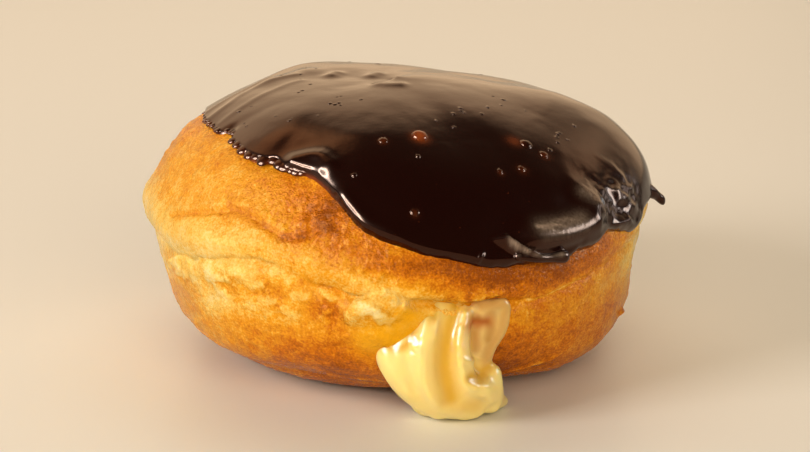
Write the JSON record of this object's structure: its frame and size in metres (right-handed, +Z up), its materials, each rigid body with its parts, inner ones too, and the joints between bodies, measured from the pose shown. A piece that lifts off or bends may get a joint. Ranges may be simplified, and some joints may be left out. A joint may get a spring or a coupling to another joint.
{
  "type": "custard-filled doughnut",
  "caption": "Round custard-filled yeast doughnut with a glossy chocolate glaze over its top and custard that has run out of its side.",
  "frame": {"origin": "middle of the flat spot under the bun, on the surface that it rests on", "axes": "+Z is up, and the custard runs out at the front, towards -Y"},
  "size_m": [0.0943, 0.0905, 0.0502],
  "materials": {
    "fried_dough": "golden brown fried crust with a pale band round the middle, slightly greasy",
    "chocolate": "very dark brown glaze, wet and glossy",
    "custard": "pale yellow custard, slightly translucent, satin"
  },
  "bodies": {
    "root": {"dough": "fried_dough", "chocolate_glaze": "chocolate", "custard": "custard"}
  },
  "joints": []
}
